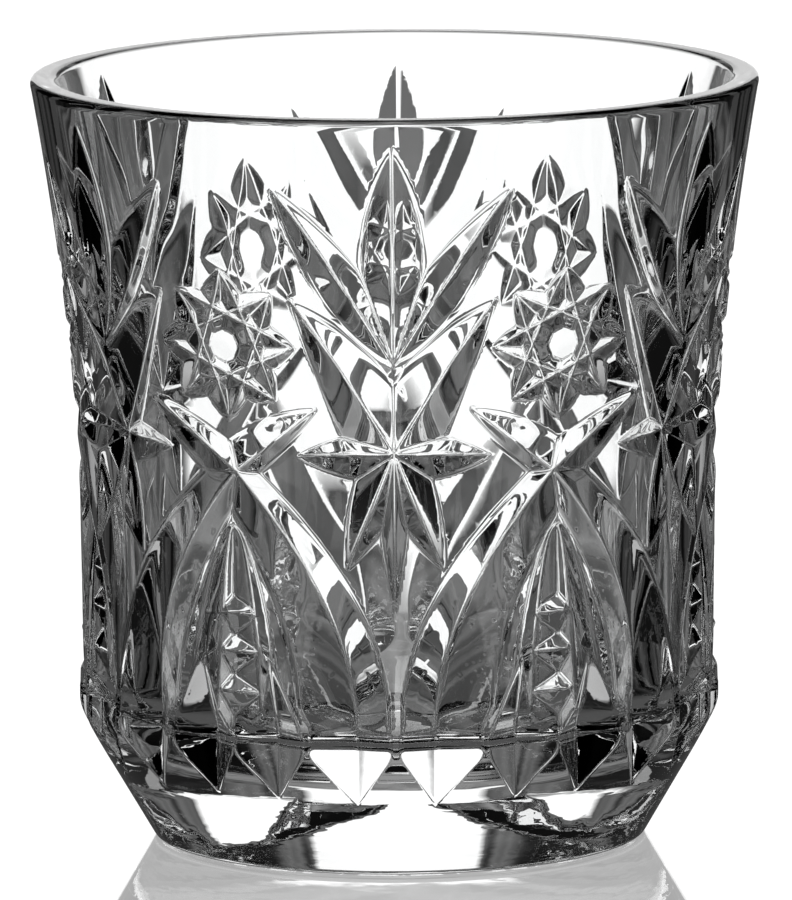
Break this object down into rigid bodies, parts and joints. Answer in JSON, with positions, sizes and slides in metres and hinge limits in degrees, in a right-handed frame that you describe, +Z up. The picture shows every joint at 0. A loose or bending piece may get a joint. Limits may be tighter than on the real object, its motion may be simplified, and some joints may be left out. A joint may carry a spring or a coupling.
{
  "type": "double old fashioned glass",
  "caption": "Clear heavy-based drinking tumbler with a flared rim and a deep cut pattern round its outside.",
  "frame": {"origin": "centre of the round foot, at the height of the surface that the glass stands on", "axes": "+Z up the middle of the glass to its open rim; -Y through the middle of one of the six equal motifs of the pattern"},
  "size_m": [0.092, 0.092, 0.097],
  "materials": {
    "clear_glass": "polished, clear and colourless"
  },
  "bodies": {
    "root": {"tumbler": "clear_glass"}
  },
  "joints": []
}
